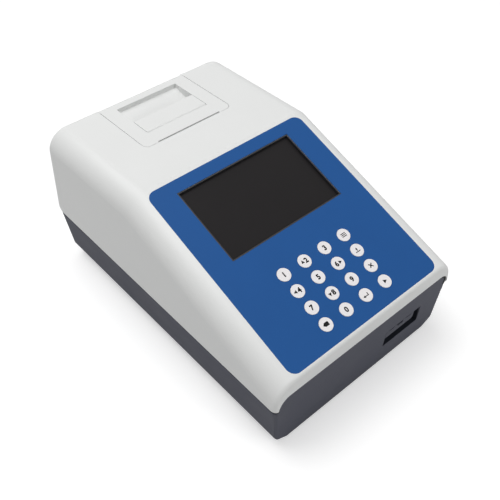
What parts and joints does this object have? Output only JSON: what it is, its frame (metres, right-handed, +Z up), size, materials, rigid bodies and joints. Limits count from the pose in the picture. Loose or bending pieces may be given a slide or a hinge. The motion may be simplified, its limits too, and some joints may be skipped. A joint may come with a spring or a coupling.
{
  "type": "urine analyzer",
  "caption": "Desktop strip analyzer: pale sloped cover on a dark tub, round keys and display, hinged printer door with release lever, and a tray that slides out of the front.",
  "frame": {"origin": "middle of the footprint, on the surface that the feet stand on", "axes": "+X to the right seen from the front, +Y from the front to the back, +Z up"},
  "size_m": [0.1778, 0.275, 0.134],
  "materials": {
    "cover_white": "fine texture moulded ABS",
    "tub_slate": "fine texture moulded ABS",
    "overlay_blue": "printed polycarbonate film",
    "key_white": "smooth moulded caps",
    "black_plastic": "moulded",
    "lens_glass": "polished",
    "display_metal": "pressed sheet",
    "board_green": "solder mask",
    "steel": "ground",
    "screw_steel": "zinc plated",
    "rubber_black": "moulded",
    "paper_white": "thermal paper, wound",
    "gear_white": "acetal",
    "head_alloy": "cast block",
    "tray_grey": "moulded",
    "tile_white": "polished",
    "brass": "turned"
  },
  "bodies": {
    "case": {"cover_shell": "cover_white", "base_tub": "tub_slate", "keypad_overlay": "overlay_blue", "window_bezel": "black_plastic", "display_lens": "lens_glass", "display_module": "display_metal", "display_board": "board_green", "keypad_board": "board_green", "door_hinge_pin": "steel", "printer_frame": "black_plastic", "print_head": "head_alloy", "printer_motor": "display_metal", "printer_screws": "screw_steel", "case_screws": "screw_steel", "main_board": "board_green", "board_screws": "screw_steel", "tray_motor": "display_metal", "tray_bed": "black_plastic", "reading_head": "black_plastic", "reading_lens": "lens_glass", "switch_body": "black_plastic", "power_inlet": "black_plastic", "power_inlet_pin": "brass", "serial_port": "display_metal", "usb_port": "display_metal", "foot_front_left": "rubber_black", "foot_front_right": "rubber_black", "foot_back_left": "rubber_black", "foot_back_right": "rubber_black"},
    "door": {"printer_door": "cover_white"},
    "lever": {"door_lever": "cover_white"},
    "platen": {"platen_rubber": "rubber_black", "platen_shaft": "steel"},
    "drive_gear": {"drive_gear": "gear_white"},
    "paper_roll": {"paper_roll": "paper_white"},
    "tray": {"strip_tray": "tray_grey", "reference_tile": "tile_white", "tray_carrier": "black_plastic"},
    "pinion": {"tray_pinion": "gear_white"},
    "rocker": {"switch_rocker": "black_plastic"},
    "key_1_1": {"key_1_1": "key_white"},
    "key_1_2": {"key_1_2": "key_white"},
    "key_1_3": {"key_1_3": "key_white"},
    "key_1_4": {"key_1_4": "key_white"},
    "key_2_1": {"key_2_1": "key_white"},
    "key_2_2": {"key_2_2": "key_white"},
    "key_2_3": {"key_2_3": "key_white"},
    "key_2_4": {"key_2_4": "key_white"},
    "key_3_1": {"key_3_1": "key_white"},
    "key_3_2": {"key_3_2": "key_white"},
    "key_3_3": {"key_3_3": "key_white"},
    "key_3_4": {"key_3_4": "key_white"},
    "key_4_1": {"key_4_1": "key_white"},
    "key_4_2": {"key_4_2": "key_white"},
    "key_4_3": {"key_4_3": "key_white"},
    "key_4_4": {"key_4_4": "key_white"}
  },
  "joints": [
    {"name": "tray_slide", "type": "slide", "parent": "case", "child": "tray", "axis": [0, -1, 0], "range_m": [0, 0.07]},
    {"name": "pinion_spin", "type": "hinge", "parent": "case", "child": "pinion", "pos_m": [0.0177, -0.0845, 0.032], "axis": [0, 0, -1], "range_deg": [0, 575]},
    {"name": "door_hinge", "type": "hinge", "parent": "case", "child": "door", "pos_m": [0, 0.12214, 0.13], "axis": [-1, 0, 0], "range_deg": [0, 100]},
    {"name": "lever_tilt", "type": "hinge", "parent": "door", "child": "lever", "pos_m": [0, 0.07534, 0.132], "axis": [1, 0, 0], "range_deg": [0, 25], "stiffness_Nm_per_rad": 0.02},
    {"name": "drive_gear_spin", "type": "hinge", "parent": "case", "child": "drive_gear", "pos_m": [0, 0.06474, 0.11088], "axis": [1, 0, 0], "continuous": true},
    {"name": "platen_spin", "type": "hinge", "parent": "door", "child": "platen", "pos_m": [0, 0.06474, 0.123], "axis": [1, 0, 0], "continuous": true},
    {"name": "paper_spin", "type": "hinge", "parent": "case", "child": "paper_roll", "pos_m": [0, 0.09834, 0.0901], "axis": [1, 0, 0], "continuous": true},
    {"name": "switch_tilt", "type": "hinge", "parent": "case", "child": "rocker", "pos_m": [-0.058, 0.13019, 0.03647], "axis": [-1, 0, 0], "range_deg": [0, 16]},
    {"name": "key_1_1_press", "type": "slide", "parent": "case", "child": "key_1_1", "axis": [0, 0.3567, -0.9342], "range_m": [0, 0.0004], "stiffness_N_per_m": 1500},
    {"name": "key_1_2_press", "type": "slide", "parent": "case", "child": "key_1_2", "axis": [0, 0.3567, -0.9342], "range_m": [0, 0.0004], "stiffness_N_per_m": 1500},
    {"name": "key_1_3_press", "type": "slide", "parent": "case", "child": "key_1_3", "axis": [0, 0.3567, -0.9342], "range_m": [0, 0.0004], "stiffness_N_per_m": 1500},
    {"name": "key_1_4_press", "type": "slide", "parent": "case", "child": "key_1_4", "axis": [0, 0.3567, -0.9342], "range_m": [0, 0.0004], "stiffness_N_per_m": 1500},
    {"name": "key_2_1_press", "type": "slide", "parent": "case", "child": "key_2_1", "axis": [0, 0.3567, -0.9342], "range_m": [0, 0.0004], "stiffness_N_per_m": 1500},
    {"name": "key_2_2_press", "type": "slide", "parent": "case", "child": "key_2_2", "axis": [0, 0.3567, -0.9342], "range_m": [0, 0.0004], "stiffness_N_per_m": 1500},
    {"name": "key_2_3_press", "type": "slide", "parent": "case", "child": "key_2_3", "axis": [0, 0.3567, -0.9342], "range_m": [0, 0.0004], "stiffness_N_per_m": 1500},
    {"name": "key_2_4_press", "type": "slide", "parent": "case", "child": "key_2_4", "axis": [0, 0.3567, -0.9342], "range_m": [0, 0.0004], "stiffness_N_per_m": 1500},
    {"name": "key_3_1_press", "type": "slide", "parent": "case", "child": "key_3_1", "axis": [0, 0.3567, -0.9342], "range_m": [0, 0.0004], "stiffness_N_per_m": 1500},
    {"name": "key_3_2_press", "type": "slide", "parent": "case", "child": "key_3_2", "axis": [0, 0.3567, -0.9342], "range_m": [0, 0.0004], "stiffness_N_per_m": 1500},
    {"name": "key_3_3_press", "type": "slide", "parent": "case", "child": "key_3_3", "axis": [0, 0.3567, -0.9342], "range_m": [0, 0.0004], "stiffness_N_per_m": 1500},
    {"name": "key_3_4_press", "type": "slide", "parent": "case", "child": "key_3_4", "axis": [0, 0.3567, -0.9342], "range_m": [0, 0.0004], "stiffness_N_per_m": 1500},
    {"name": "key_4_1_press", "type": "slide", "parent": "case", "child": "key_4_1", "axis": [0, 0.3567, -0.9342], "range_m": [0, 0.0004], "stiffness_N_per_m": 1500},
    {"name": "key_4_2_press", "type": "slide", "parent": "case", "child": "key_4_2", "axis": [0, 0.3567, -0.9342], "range_m": [0, 0.0004], "stiffness_N_per_m": 1500},
    {"name": "key_4_3_press", "type": "slide", "parent": "case", "child": "key_4_3", "axis": [0, 0.3567, -0.9342], "range_m": [0, 0.0004], "stiffness_N_per_m": 1500},
    {"name": "key_4_4_press", "type": "slide", "parent": "case", "child": "key_4_4", "axis": [0, 0.3567, -0.9342], "range_m": [0, 0.0004], "stiffness_N_per_m": 1500}
  ],
  "couplings": [
    {"joint": "pinion_spin", "follows": "tray_slide", "rad_per_m": 142.86},
    {"joint": "platen_spin", "follows": "drive_gear_spin", "ratio": -1}
  ]
}
